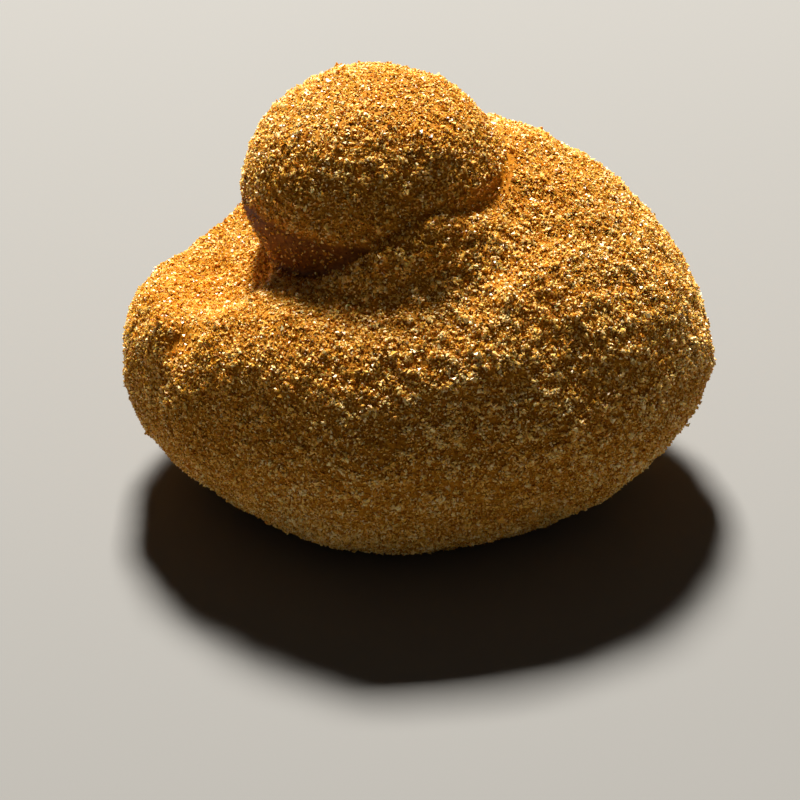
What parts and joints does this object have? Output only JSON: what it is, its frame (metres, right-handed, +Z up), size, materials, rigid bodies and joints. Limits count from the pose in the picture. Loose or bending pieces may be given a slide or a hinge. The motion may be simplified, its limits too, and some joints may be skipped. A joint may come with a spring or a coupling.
{
  "type": "crumbed fried bun",
  "caption": "Crumbed, deep-fried bun: a wide round body of dough with a smaller ball of dough pressed into its top, coated all over in golden crumbs, and a flat underside it rests on.",
  "frame": {"origin": "centre of the bun's plan bounding box, at the height of its flat underside", "axes": "+Z up from the underside, +X toward the high round side, right in the picture, -Y toward the picture's viewer"},
  "size_m": [0.087, 0.0782, 0.0636],
  "materials": {
    "fried_crumb": "deep-fried breadcrumb, golden brown, rough with small glints"
  },
  "bodies": {
    "root": {"bun": "fried_crumb"}
  },
  "joints": []
}
